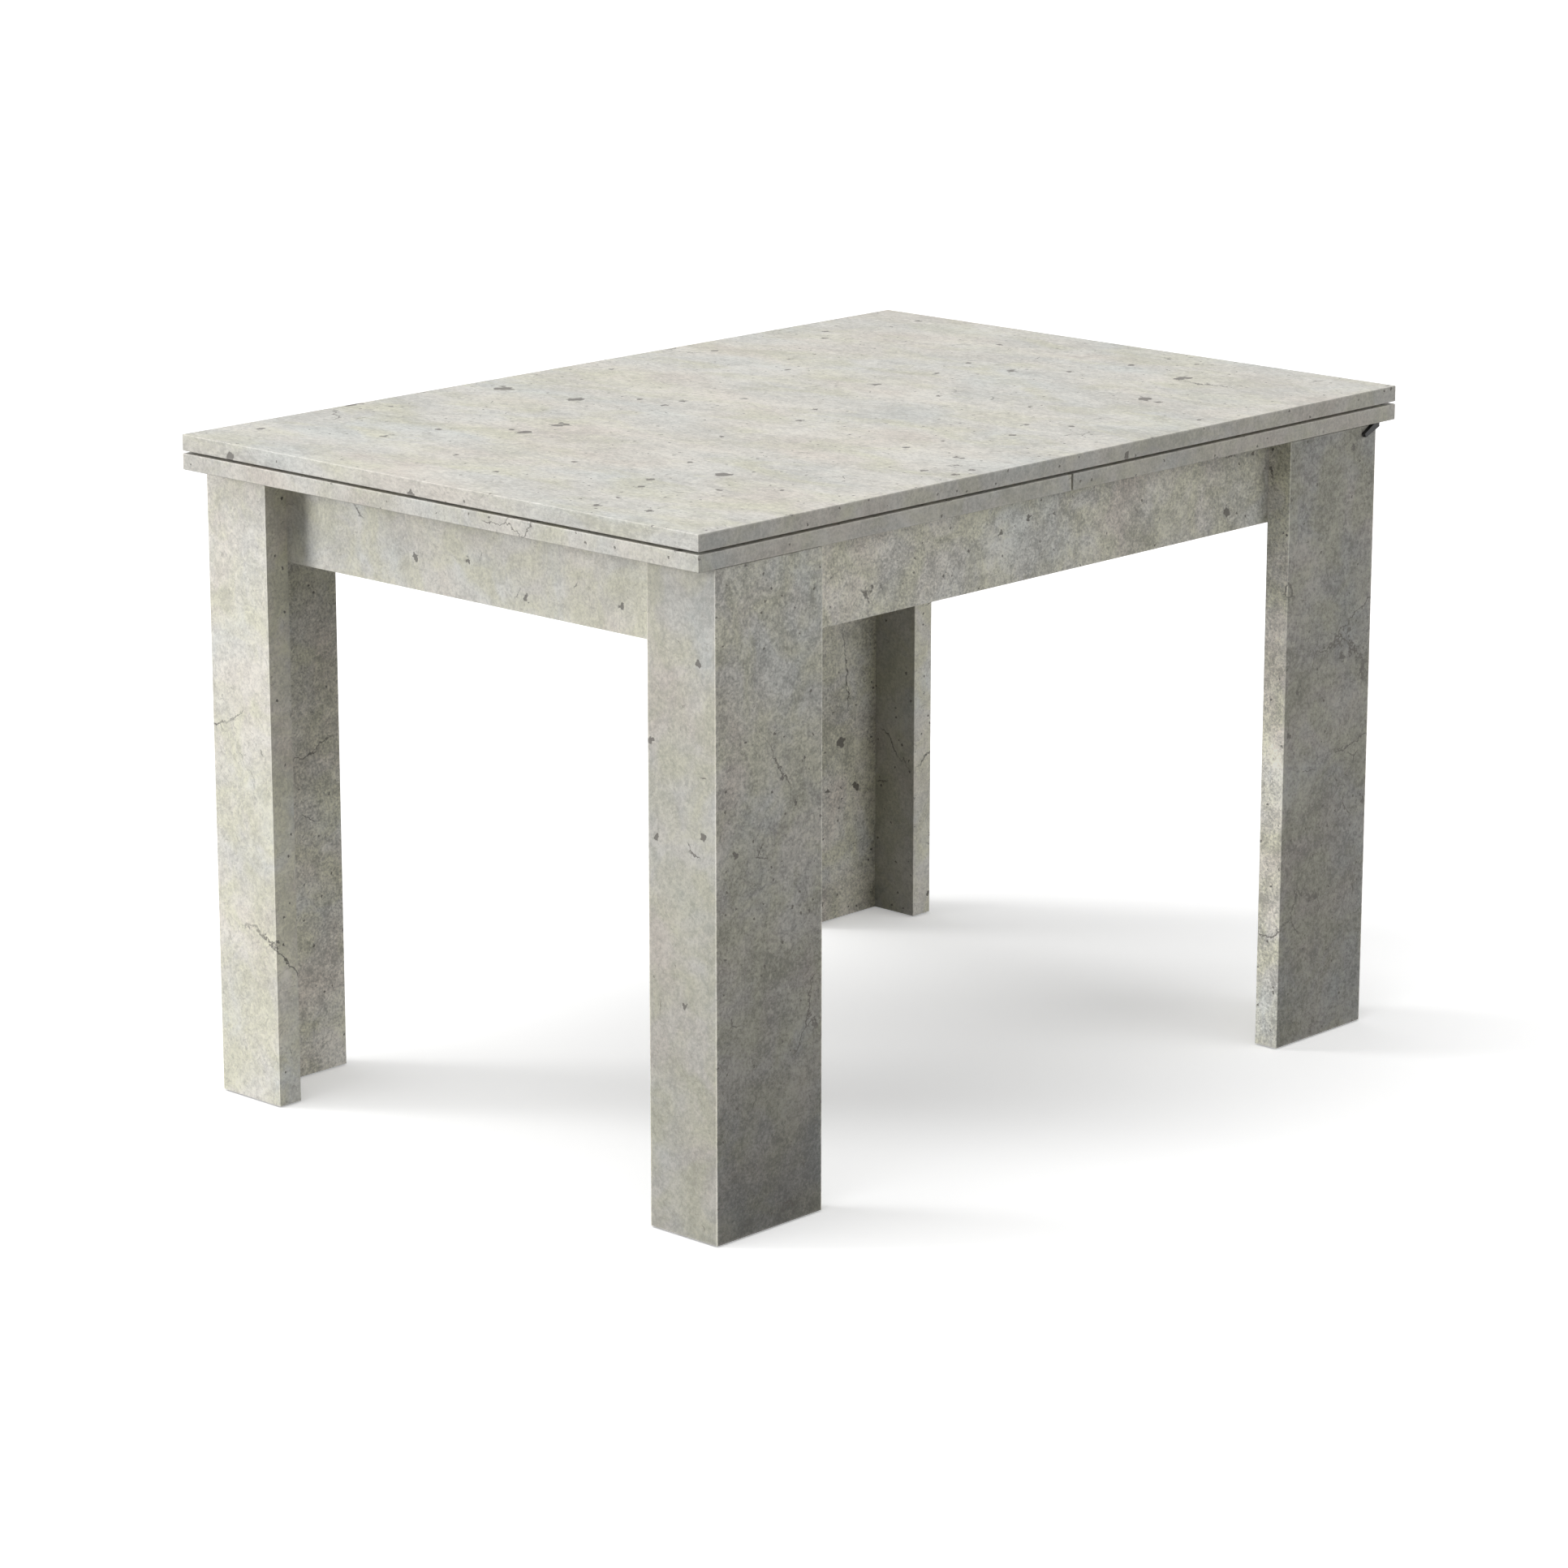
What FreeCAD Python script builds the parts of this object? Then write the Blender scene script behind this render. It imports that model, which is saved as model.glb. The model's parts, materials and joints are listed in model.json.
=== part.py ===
"""Extendable dining table: a fixed top over two leaves that draw out from the ends.

Millimetres, +Z up, X along the table. The origin is on the floor under the middle of the top.
The near long side is the front (-Y). Each piece is written to parts/ as its own STEP file.
"""
import FreeCAD, Part
import os

Vector = FreeCAD.Vector
X_AXIS = Vector(1, 0, 0)
Y_AXIS = Vector(0, 1, 0)
Z_AXIS = Vector(0, 0, 1)

# Overall sizes
LENGTH = 1200.0
WIDTH = 820.0
HEIGHT = 790.0

# Boards
TOP_BOARD = 19.0
LEAF_BOARD = 19.0
LEG_BOARD = 32.0
APRON_BOARD = 19.0
RAIL_BOARD = 19.0
BATTEN_BOARD = 18.0
ARRIS = 1.0

# Gaps that the leaves slide in
TOP_GAP = 3.0
FRAME_GAP = 2.0
LEAF_SEAM = 3.0
NOTCH_CLEARANCE = 1.0

# Legs and aprons
LEG_LONG = 165.0
LEG_SHORT = 100.0
END_INSET = 30.0
SIDE_INSET = 6.0
APRON_HEIGHT = 100.0
FOOT_THICKNESS = 2.0
FOOT_RADIUS = 11.0
FOOT_PIN_RADIUS = 1.25
FOOT_PIN_LENGTH = 12.0
FOOT_FROM_LEG_END = 40.0

# Centre bearer, which carries the top between the two leaves
BEARER_WIDTH = 60.0
BEARER_FROM_EDGE = 130.0
BEARER_SCREW_SHARES = (-0.75, -0.25, 0.25, 0.75)
TOP_SCREW_SHARES = (-0.85, 0.0, 0.85)

# Ball runners
RUNNER_HEIGHT = 35.0
RUNNER_DEPTH = 12.5
RUNNER_SHEET = 1.2
RUNNER_RUNNING_GAP = 0.4
RUNNER_MIDDLE_FROM_APRON = 3.4
RUNNER_UNDER_LEAF = 3.0
RUNNER_OVERLAP = 10.0
RUNNER_FROM_END_APRON = 9.0
RUNNER_SCREW_INSET = 35.0
BATTEN_FROM_RAIL = 5.5
BATTEN_BEYOND_RUNNER = 5.0
BATTEN_BELOW_RUNNER = 7.0

# Corner and rail brackets
BRACKET_SHEET = 2.5
BRACKET_HEIGHT = 45.0
BRACKET_FLANGE = 50.0
BRACKET_FROM_BOTTOM = 5.0
BRACKET_BEND = 1.5
RAIL_BRACKET_HEIGHT = 36.0
RAIL_BRACKET_FLANGE = 30.0
RAIL_BRACKET_SCREW_FROM_CORNER = 18.0
SAME_PLACE = 0.01

# Bolts, screws and dowels
BOLT_RADIUS = 3.0
BOLT_HEAD_RADIUS = 6.0
BOLT_HEAD_HEIGHT = 4.5
BOLT_SOCKET_RADIUS = 2.0
BOLT_SOCKET_DEPTH = 2.5
BOLT_FROM_CORNER = 30.0
INSERT_RADIUS = 4.5
INSERT_LENGTH = 16.0
SCREW_RADIUS = 2.0
SCREW_HEAD_RADIUS = 4.0
SCREW_HEAD_HEIGHT = 1.6
SCREW_BITE = 12.0
SHORT_SCREW_BITE = 8.0
LONG_SCREW_BITE = 30.0
COUNTERBORE_DEPTH = 20.0
HOLE_CLEARANCE = 0.1
HOLE_BEYOND_TIP = 0.5
DOWEL_RADIUS = 4.0
DOWEL_LENGTH = 32.0
DOWEL_IN_LONG_APRON = 12.0
DOWEL_FROM_EDGE = 25.0

# Felt pads, glide strips and finger tab
PAD_LENGTH = 30.0
PAD_WIDTH = 40.0
PAD_FROM_END = 30.0
PAD_FROM_SIDE = 50.0
STRIP_MARGIN = 2.0
STRIP_FROM_CORNER = 60.0
TAB_LENGTH = 28.0
TAB_DROP = 14.5
TAB_BLADE = 4.5
TAB_FOOT = 10.0
TAB_CLEARANCE = 0.6
TAB_PEG_RADIUS = 1.2
TAB_PEG_LENGTH = 8.0

# Heights, from the top down
TOP_UNDER = HEIGHT - TOP_BOARD
LEAF_TOP = TOP_UNDER - TOP_GAP
LEAF_UNDER = LEAF_TOP - LEAF_BOARD
FRAME_TOP = LEAF_UNDER - FRAME_GAP
APRON_BOTTOM = FRAME_TOP - APRON_HEIGHT

# Faces of the legs and aprons, from the middle of the table
LEG_X = LENGTH / 2 - END_INSET
LEG_Y = WIDTH / 2 - SIDE_INSET
APRON_X = LEG_X - LEG_BOARD
APRON_Y = LEG_Y - LEG_BOARD
INNER_X = APRON_X - APRON_BOARD
INNER_Y = APRON_Y - APRON_BOARD

# Leaf outline, bearer and battens
LEAF_START = LEAF_SEAM / 2
BEARER_X = BEARER_WIDTH / 2
BEARER_Y = WIDTH / 2 - BEARER_FROM_EDGE
BATTEN_START = RAIL_BOARD / 2 + BATTEN_FROM_RAIL
RUNNER_START = BATTEN_START + BATTEN_BEYOND_RUNNER

# The longest runner that the frame holds when the leaf is fully out
RUNNER_LENGTH = (INNER_X - RUNNER_START - RUNNER_FROM_END_APRON + RUNNER_OVERLAP) / 2
RUNNER_END = RUNNER_START + RUNNER_LENGTH
BATTEN_END = RUNNER_END + BATTEN_BEYOND_RUNNER / 2
RUNNER_TOP = LEAF_UNDER - RUNNER_UNDER_LEAF
RUNNER_Z = RUNNER_TOP - RUNNER_HEIGHT / 2
BATTEN_BOTTOM = RUNNER_TOP - RUNNER_HEIGHT - BATTEN_BELOW_RUNNER
BATTEN_Y = INNER_Y - RUNNER_DEPTH

SIDES_X = {"left": -1, "right": 1}
SIDES_Y = {"front": -1, "back": 1}


def box(x_range, y_range, z_range):
    """Make a block from its lower and upper limits along each axis."""
    low = Vector(x_range[0], y_range[0], z_range[0])
    return Part.makeBox(x_range[1] - x_range[0], y_range[1] - y_range[0],
                        z_range[1] - z_range[0], low)


def cylinder(radius, length, base, direction):
    """Make a round bar that starts at base and runs along direction."""
    return Part.makeCylinder(radius, length, base, direction)


def prism(outline, direction):
    """Extrude a closed outline of straight sides along a vector."""
    wire = Part.makePolygon(outline + [outline[0]])
    return Part.Face(wire).extrude(direction)


def mirrored(shape, sign_x, sign_y):
    """Move a shape of the right-hand back corner to another corner by mirroring it."""
    if sign_x < 0:
        shape = shape.mirror(Vector(), X_AXIS)
    if sign_y < 0:
        shape = shape.mirror(Vector(), Y_AXIS)
    return shape


def drilled(shape, seats, radius, depth, direction):
    """Cut the same round hole at each seat."""
    for seat in seats:
        shape = shape.cut(cylinder(radius, depth, seat, direction))
    return shape


def screw(seat, direction, length):
    """Make a pan-head screw whose head sits on the seat and whose shank runs along direction."""
    shank = cylinder(SCREW_RADIUS, length, seat, direction)
    head = cylinder(SCREW_HEAD_RADIUS, SCREW_HEAD_HEIGHT, seat, direction * -1)
    return shank.fuse(head).removeSplitter()


def bolt(seat, direction, length):
    """Make a socket-head bolt whose head sits on the seat."""
    shank = cylinder(BOLT_RADIUS, length, seat, direction)
    head = cylinder(BOLT_HEAD_RADIUS, BOLT_HEAD_HEIGHT, seat, direction * -1)
    socket_start = seat - direction * BOLT_HEAD_HEIGHT
    socket = cylinder(BOLT_SOCKET_RADIUS, BOLT_SOCKET_DEPTH, socket_start, direction)
    return shank.fuse(head).removeSplitter().cut(socket)


def all_corners(shape):
    """Repeat a shape of the right-hand back corner at all four corners."""
    return [mirrored(shape, sign_x, sign_y)
            for sign_x in SIDES_X.values() for sign_y in SIDES_Y.values()]


# Places of the fasteners, all at the right-hand back corner

def bolt_heights():
    """Give the two heights of the bolts through each corner bracket."""
    bottom = APRON_BOTTOM + BRACKET_FROM_BOTTOM
    quarter = BRACKET_HEIGHT / 4
    return [bottom + quarter, bottom + 3 * quarter]


def long_bolt_seats():
    """Give where the bolts into the long leg board start, on the long apron's inner face."""
    return [Vector(INNER_X - BOLT_FROM_CORNER, INNER_Y, z) for z in bolt_heights()]


def short_bolt_seats():
    """Give where the bolts into the short leg board start, on the end apron's inner face."""
    return [Vector(INNER_X, INNER_Y - BOLT_FROM_CORNER, z) for z in bolt_heights()]


def dowel_seats():
    """Give the middle of each dowel where the end apron meets the long apron."""
    x = (INNER_X + APRON_X) / 2
    heights = [APRON_BOTTOM + DOWEL_FROM_EDGE, FRAME_TOP - DOWEL_FROM_EDGE]
    return [Vector(x, INNER_Y, z) for z in heights]


def runner_screw_xs():
    """Give where along the table each runner is screwed down."""
    return [RUNNER_START + RUNNER_SCREW_INSET, RUNNER_END - RUNNER_SCREW_INSET]


def fixed_runner_seats():
    """Give the seats of the fixed member's screws, on the long apron's inner face."""
    return [Vector(x, INNER_Y, RUNNER_Z) for x in runner_screw_xs()]


def inner_runner_seats():
    """Give the seats of the inner member's screws, on the batten's outer face."""
    return [Vector(x, BATTEN_Y, RUNNER_Z) for x in runner_screw_xs()]


def batten_screw_seats():
    """Give the seats of the batten's screws, at the bottom of their counterbores."""
    y = BATTEN_Y - BATTEN_BOARD / 2
    z = BATTEN_BOTTOM + COUNTERBORE_DEPTH
    middle = (BATTEN_START + BATTEN_END) / 2
    reach = (BATTEN_END - BATTEN_START) / 2 - RUNNER_SCREW_INSET / 2
    return [Vector(middle + step * reach, y, z) for step in (-1, 0, 1)]


def bearer_screw_seats():
    """Give the seats of the screws down through the bearer into the centre rail."""
    z = TOP_UNDER - SCREW_HEAD_HEIGHT
    return [Vector(0, BEARER_Y * share, z) for share in BEARER_SCREW_SHARES]


def top_screw_seats():
    """Give the seats of the screws up through the bearer into the top."""
    x = (BEARER_X + RAIL_BOARD / 2) / 2
    return [Vector(sign * x, BEARER_Y * share, FRAME_TOP)
            for sign in SIDES_X.values() for share in TOP_SCREW_SHARES]


def rail_bracket_z():
    """Give the lower and upper limits of the rail brackets."""
    bottom = APRON_BOTTOM + BRACKET_FROM_BOTTOM
    return (bottom, bottom + RAIL_BRACKET_HEIGHT)


def rail_bracket_seat():
    """Give the seat of a rail bracket's screw into the rail."""
    z = sum(rail_bracket_z()) / 2
    return Vector(RAIL_BOARD / 2, INNER_Y - RAIL_BRACKET_SCREW_FROM_CORNER, z)


def rail_bracket_apron_seat():
    """Give the seat of a rail bracket's screw into the long apron."""
    z = sum(rail_bracket_z()) / 2
    return Vector(RAIL_BOARD / 2 + RAIL_BRACKET_SCREW_FROM_CORNER, INNER_Y, z)


def foot_centres():
    """Give where the glides sit under the long and the short board of a leg."""
    long_foot = Vector(LEG_X - LEG_LONG + FOOT_FROM_LEG_END, LEG_Y - LEG_BOARD / 2, 0)
    short_y = LEG_Y - LEG_SHORT + FOOT_FROM_LEG_END * LEG_SHORT / LEG_LONG
    short_foot = Vector(LEG_X - LEG_BOARD / 2, short_y, 0)
    return [long_foot, short_foot]


# Top and centre

def top_panel():
    """Make the fixed top with rounded arrises and screw holes in its underside."""
    panel = box((-LENGTH / 2, LENGTH / 2), (-WIDTH / 2, WIDTH / 2), (TOP_UNDER, HEIGHT))
    panel = panel.makeFillet(ARRIS, panel.Edges)
    seats = [Vector(seat.x, seat.y, TOP_UNDER) for seat in top_screw_seats()]
    return drilled(panel, seats, SCREW_RADIUS + HOLE_CLEARANCE, SCREW_BITE + HOLE_BEYOND_TIP, Z_AXIS)


def centre_bearer():
    """Make the board between the leaves that holds the top up."""
    bearer = box((-BEARER_X, BEARER_X), (-BEARER_Y, BEARER_Y), (FRAME_TOP, TOP_UNDER))
    thickness = TOP_UNDER - FRAME_TOP
    hole = SCREW_RADIUS + HOLE_CLEARANCE
    bearer = drilled(bearer, top_screw_seats(), hole, thickness, Z_AXIS)
    bearer = drilled(bearer, bearer_screw_seats(), hole, thickness, Z_AXIS * -1)
    recess = SCREW_HEAD_RADIUS + HOLE_CLEARANCE
    return drilled(bearer, bearer_screw_seats(), recess, SCREW_HEAD_HEIGHT, Z_AXIS)


def centre_rail():
    """Make the cross rail between the long aprons."""
    rail = box((-RAIL_BOARD / 2, RAIL_BOARD / 2), (-INNER_Y, INNER_Y), (APRON_BOTTOM, FRAME_TOP))
    hole = SCREW_RADIUS + HOLE_CLEARANCE
    seats = [Vector(seat.x, seat.y, FRAME_TOP) for seat in bearer_screw_seats()]
    rail = drilled(rail, seats, hole, LONG_SCREW_BITE + HOLE_BEYOND_TIP, Z_AXIS * -1)
    for sign_x in SIDES_X.values():
        for sign_y in SIDES_Y.values():
            seat = rail_bracket_seat()
            start = Vector(sign_x * seat.x, sign_y * seat.y, seat.z)
            rail = drilled(rail, [start], hole, SHORT_SCREW_BITE + HOLE_BEYOND_TIP, X_AXIS * -sign_x)
    return rail


# Frame

def long_apron(sign_y):
    """Make the front or the back apron."""
    apron = box((-APRON_X, APRON_X), (INNER_Y, APRON_Y), (APRON_BOTTOM, FRAME_TOP))
    screw_hole = SCREW_RADIUS + HOLE_CLEARANCE
    bite = SCREW_BITE + HOLE_BEYOND_TIP
    for sign_x in SIDES_X.values():
        place = [Vector(sign_x * seat.x, seat.y, seat.z) for seat in long_bolt_seats()]
        apron = drilled(apron, place, BOLT_RADIUS + HOLE_CLEARANCE, APRON_BOARD, Y_AXIS)
        place = [Vector(sign_x * seat.x, seat.y, seat.z) for seat in dowel_seats()]
        apron = drilled(apron, place, DOWEL_RADIUS + HOLE_CLEARANCE, DOWEL_IN_LONG_APRON, Y_AXIS)
        place = [Vector(sign_x * seat.x, seat.y, seat.z) for seat in fixed_runner_seats()]
        place.append(Vector(sign_x * rail_bracket_apron_seat().x, INNER_Y,
                            rail_bracket_apron_seat().z))
        apron = drilled(apron, place, screw_hole, bite, Y_AXIS)
    return mirrored(apron, 1, sign_y)


def end_apron(sign_x):
    """Make the left or the right apron, which fits between the long aprons."""
    apron = box((INNER_X, APRON_X), (-INNER_Y, INNER_Y), (APRON_BOTTOM, FRAME_TOP))
    depth = DOWEL_LENGTH - DOWEL_IN_LONG_APRON
    for sign_y in SIDES_Y.values():
        place = [Vector(seat.x, sign_y * seat.y, seat.z) for seat in short_bolt_seats()]
        apron = drilled(apron, place, BOLT_RADIUS + HOLE_CLEARANCE, APRON_BOARD, X_AXIS)
        place = [Vector(seat.x, sign_y * seat.y, seat.z) for seat in dowel_seats()]
        apron = drilled(apron, place, DOWEL_RADIUS + HOLE_CLEARANCE, depth, Y_AXIS * -sign_y)
    return mirrored(apron, sign_x, 1)


def foot_drilled(board, centre):
    """Cut the hole for a foot glide's pin."""
    seat = Vector(centre.x, centre.y, FOOT_THICKNESS)
    return drilled(board, [seat], FOOT_PIN_RADIUS + HOLE_CLEARANCE, FOOT_PIN_LENGTH, Z_AXIS)


def leg_long_board():
    """Make the leg board on the table's long side, mitred at the corner."""
    outline = [Vector(LEG_X, LEG_Y, FOOT_THICKNESS),
               Vector(LEG_X - LEG_LONG, LEG_Y, FOOT_THICKNESS),
               Vector(LEG_X - LEG_LONG, LEG_Y - LEG_BOARD, FOOT_THICKNESS),
               Vector(LEG_X - LEG_BOARD, LEG_Y - LEG_BOARD, FOOT_THICKNESS)]
    board = prism(outline, Z_AXIS * (FRAME_TOP - FOOT_THICKNESS))
    seats = [Vector(seat.x, APRON_Y, seat.z) for seat in long_bolt_seats()]
    board = drilled(board, seats, INSERT_RADIUS + HOLE_CLEARANCE, INSERT_LENGTH, Y_AXIS)
    return foot_drilled(board, foot_centres()[0])


def leg_short_board():
    """Make the leg board on the table's end, mitred at the corner."""
    outline = [Vector(LEG_X, LEG_Y, FOOT_THICKNESS),
               Vector(LEG_X - LEG_BOARD, LEG_Y - LEG_BOARD, FOOT_THICKNESS),
               Vector(LEG_X - LEG_BOARD, LEG_Y - LEG_SHORT, FOOT_THICKNESS),
               Vector(LEG_X, LEG_Y - LEG_SHORT, FOOT_THICKNESS)]
    board = prism(outline, Z_AXIS * (FRAME_TOP - FOOT_THICKNESS))
    seats = [Vector(APRON_X, seat.y, seat.z) for seat in short_bolt_seats()]
    board = drilled(board, seats, INSERT_RADIUS + HOLE_CLEARANCE, INSERT_LENGTH, X_AXIS)
    return foot_drilled(board, foot_centres()[1])


def foot_glides():
    """Make the two nail-on glides under a leg."""
    glides = []
    for centre in foot_centres():
        disc = cylinder(FOOT_RADIUS, FOOT_THICKNESS, centre, Z_AXIS)
        pin_length = FOOT_THICKNESS + FOOT_PIN_LENGTH
        pin = cylinder(FOOT_PIN_RADIUS, pin_length, centre, Z_AXIS)
        glides.append(disc.fuse(pin).removeSplitter())
    return Part.makeCompound(glides)


def angle_plate(corner, flange_x, flange_y, z_range):
    """Make a bent angle whose outer corner is given and whose flanges run to -X and -Y."""
    along_x = box((corner.x - flange_x, corner.x), (corner.y - BRACKET_SHEET, corner.y), z_range)
    along_y = box((corner.x - BRACKET_SHEET, corner.x), (corner.y - flange_y, corner.y), z_range)
    plate = along_x.fuse(along_y).removeSplitter()
    bend = [edge for edge in plate.Edges if is_upright_at(edge, corner.x, corner.y)]
    return plate.makeFillet(BRACKET_BEND, bend)


def is_upright_at(edge, x, y):
    """Say whether an edge is upright and stands at a given place."""
    return all(abs(vertex.X - x) < SAME_PLACE and abs(vertex.Y - y) < SAME_PLACE
               for vertex in edge.Vertexes)


def corner_bracket():
    """Make the steel angle inside a corner of the frame."""
    bottom = APRON_BOTTOM + BRACKET_FROM_BOTTOM
    corner = Vector(INNER_X, INNER_Y, bottom)
    plate = angle_plate(corner, BRACKET_FLANGE, BRACKET_FLANGE, (bottom, bottom + BRACKET_HEIGHT))
    hole = BOLT_RADIUS + HOLE_CLEARANCE
    plate = drilled(plate, long_bolt_seats(), hole, BRACKET_SHEET, Y_AXIS * -1)
    return drilled(plate, short_bolt_seats(), hole, BRACKET_SHEET, X_AXIS * -1)


def leg_bolts():
    """Make the bolts that hold the legs, four at each corner."""
    length = BRACKET_SHEET + APRON_BOARD + INSERT_LENGTH
    bolts = [bolt(seat - Y_AXIS * BRACKET_SHEET, Y_AXIS, length) for seat in long_bolt_seats()]
    bolts += [bolt(seat - X_AXIS * BRACKET_SHEET, X_AXIS, length) for seat in short_bolt_seats()]
    return Part.makeCompound(all_corners(Part.makeCompound(bolts)))


def leg_inserts():
    """Make the threaded sleeves in the leg boards that the bolts turn into."""
    sleeves = []
    for seat in long_bolt_seats():
        sleeves.append(sleeve(Vector(seat.x, APRON_Y, seat.z), Y_AXIS))
    for seat in short_bolt_seats():
        sleeves.append(sleeve(Vector(APRON_X, seat.y, seat.z), X_AXIS))
    return Part.makeCompound(all_corners(Part.makeCompound(sleeves)))


def sleeve(seat, direction):
    """Make one threaded sleeve as a plain tube."""
    tube = cylinder(INSERT_RADIUS, INSERT_LENGTH, seat, direction)
    return tube.cut(cylinder(BOLT_RADIUS + HOLE_CLEARANCE, INSERT_LENGTH, seat, direction))


def apron_dowels():
    """Make the beech dowels at the frame's corners."""
    start = Y_AXIS * (DOWEL_LENGTH - DOWEL_IN_LONG_APRON)
    dowels = [cylinder(DOWEL_RADIUS, DOWEL_LENGTH, seat - start, Y_AXIS) for seat in dowel_seats()]
    return Part.makeCompound(all_corners(Part.makeCompound(dowels)))


def rail_brackets():
    """Make the four angles between the centre rail and the long aprons."""
    flange = RAIL_BRACKET_FLANGE
    corner = Vector(-RAIL_BOARD / 2, INNER_Y, 0)
    plate = angle_plate(corner, flange, flange, rail_bracket_z()).mirror(Vector(), X_AXIS)
    hole = SCREW_RADIUS + HOLE_CLEARANCE
    plate = drilled(plate, [rail_bracket_seat()], hole, BRACKET_SHEET, X_AXIS)
    plate = drilled(plate, [rail_bracket_apron_seat()], hole, BRACKET_SHEET, Y_AXIS * -1)
    return Part.makeCompound(all_corners(plate))


def rail_bracket_screws():
    """Make the screws of the rail brackets, two in each."""
    into_rail = screw(rail_bracket_seat() + X_AXIS * BRACKET_SHEET, X_AXIS * -1,
                      BRACKET_SHEET + SHORT_SCREW_BITE)
    into_apron = screw(rail_bracket_apron_seat() - Y_AXIS * BRACKET_SHEET, Y_AXIS,
                       BRACKET_SHEET + SCREW_BITE)
    return Part.makeCompound(all_corners(Part.makeCompound([into_rail, into_apron])))


def bearer_screws():
    """Make the screws that hold the bearer down on the centre rail."""
    length = TOP_UNDER - FRAME_TOP - SCREW_HEAD_HEIGHT + LONG_SCREW_BITE
    return Part.makeCompound([screw(seat, Z_AXIS * -1, length) for seat in bearer_screw_seats()])


def top_screws():
    """Make the screws that hold the top to the bearer."""
    length = TOP_UNDER - FRAME_TOP + SCREW_BITE
    return Part.makeCompound([screw(seat, Z_AXIS, length) for seat in top_screw_seats()])


def top_pads():
    """Make the felt pads under the top that the leaves slide on."""
    end = LENGTH / 2 - PAD_FROM_END
    side = WIDTH / 2 - PAD_FROM_SIDE
    pad = box((end - PAD_LENGTH, end), (side - PAD_WIDTH, side), (LEAF_TOP, TOP_UNDER))
    return Part.makeCompound(all_corners(pad))


def glide_strip(sign_x):
    """Make the nylon strip on the end apron that carries the leaf."""
    reach = INNER_Y - STRIP_FROM_CORNER
    strip = box((INNER_X + STRIP_MARGIN, APRON_X - STRIP_MARGIN), (-reach, reach),
                (FRAME_TOP, LEAF_UNDER))
    return mirrored(strip, sign_x, 1)


# Runners and leaves, all at the right-hand end's back side

def channel(web_y, flange_y, half_height):
    """Make a runner member: a web at one depth with flanges that reach to another depth."""
    web = sorted((web_y, web_y + RUNNER_SHEET * (1 if flange_y > web_y else -1)))
    flange = sorted((web_y, flange_y))
    x_range = (RUNNER_START, RUNNER_END)
    member = box(x_range, web, (RUNNER_Z - half_height, RUNNER_Z + half_height))
    for sign in (-1, 1):
        z = sorted((RUNNER_Z + sign * half_height, RUNNER_Z + sign * (half_height - RUNNER_SHEET)))
        member = member.fuse(box(x_range, flange, z))
    return member.removeSplitter()


def flange_heights():
    """Give the half heights of the fixed, middle and inner members, which nest."""
    step = RUNNER_SHEET + RUNNER_RUNNING_GAP
    return [RUNNER_HEIGHT / 2 - step * count for count in range(3)]


def runner_fixed():
    """Make the member on the long apron."""
    lip = INNER_Y - RUNNER_DEPTH + RUNNER_SHEET
    member = channel(INNER_Y, lip, flange_heights()[0])
    hole = SCREW_RADIUS + HOLE_CLEARANCE
    return drilled(member, fixed_runner_seats(), hole, RUNNER_SHEET, Y_AXIS * -1)


def runner_middle():
    """Make the floating member, which travels half as far as the leaf."""
    web = INNER_Y - RUNNER_MIDDLE_FROM_APRON
    lip = INNER_Y - RUNNER_DEPTH + RUNNER_SHEET
    return channel(web, lip, flange_heights()[1])


def runner_inner():
    """Make the member on the leaf's batten."""
    lip = INNER_Y - RUNNER_MIDDLE_FROM_APRON - RUNNER_SHEET - RUNNER_RUNNING_GAP
    member = channel(BATTEN_Y, lip, flange_heights()[2])
    hole = SCREW_RADIUS + HOLE_CLEARANCE
    return drilled(member, inner_runner_seats(), hole, RUNNER_SHEET, Y_AXIS)


def fixed_runner_screws():
    """Make the screws that hold the fixed members on the aprons."""
    screws = [screw(seat - Y_AXIS * RUNNER_SHEET, Y_AXIS, RUNNER_SHEET + SCREW_BITE)
              for seat in fixed_runner_seats()]
    return Part.makeCompound(all_corners(Part.makeCompound(screws)))


def leaf_runner_screws(sign_x):
    """Make the screws that hold the inner members on one leaf's battens."""
    screws = Part.makeCompound([screw(seat + Y_AXIS * RUNNER_SHEET, Y_AXIS * -1,
                                      RUNNER_SHEET + SCREW_BITE) for seat in inner_runner_seats()])
    return Part.makeCompound([mirrored(screws, sign_x, sign_y) for sign_y in SIDES_Y.values()])


def leaf_batten():
    """Make the batten under a leaf that its runner is screwed to."""
    batten = box((BATTEN_START, BATTEN_END), (BATTEN_Y - BATTEN_BOARD, BATTEN_Y),
                 (BATTEN_BOTTOM, LEAF_UNDER))
    hole = SCREW_RADIUS + HOLE_CLEARANCE
    height = LEAF_UNDER - BATTEN_BOTTOM - COUNTERBORE_DEPTH
    batten = drilled(batten, batten_screw_seats(), hole, height, Z_AXIS)
    counterbore = SCREW_HEAD_RADIUS + HOLE_CLEARANCE
    batten = drilled(batten, batten_screw_seats(), counterbore, COUNTERBORE_DEPTH, Z_AXIS * -1)
    return drilled(batten, inner_runner_seats(), hole, SCREW_BITE + HOLE_BEYOND_TIP, Y_AXIS * -1)


def tab_peg_seat():
    """Give where the finger tab's peg goes up into the right-hand leaf."""
    return Vector(LEG_X - TAB_FOOT / 2, -(LEG_Y + SIDE_INSET / 2), LEAF_UNDER)


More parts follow.
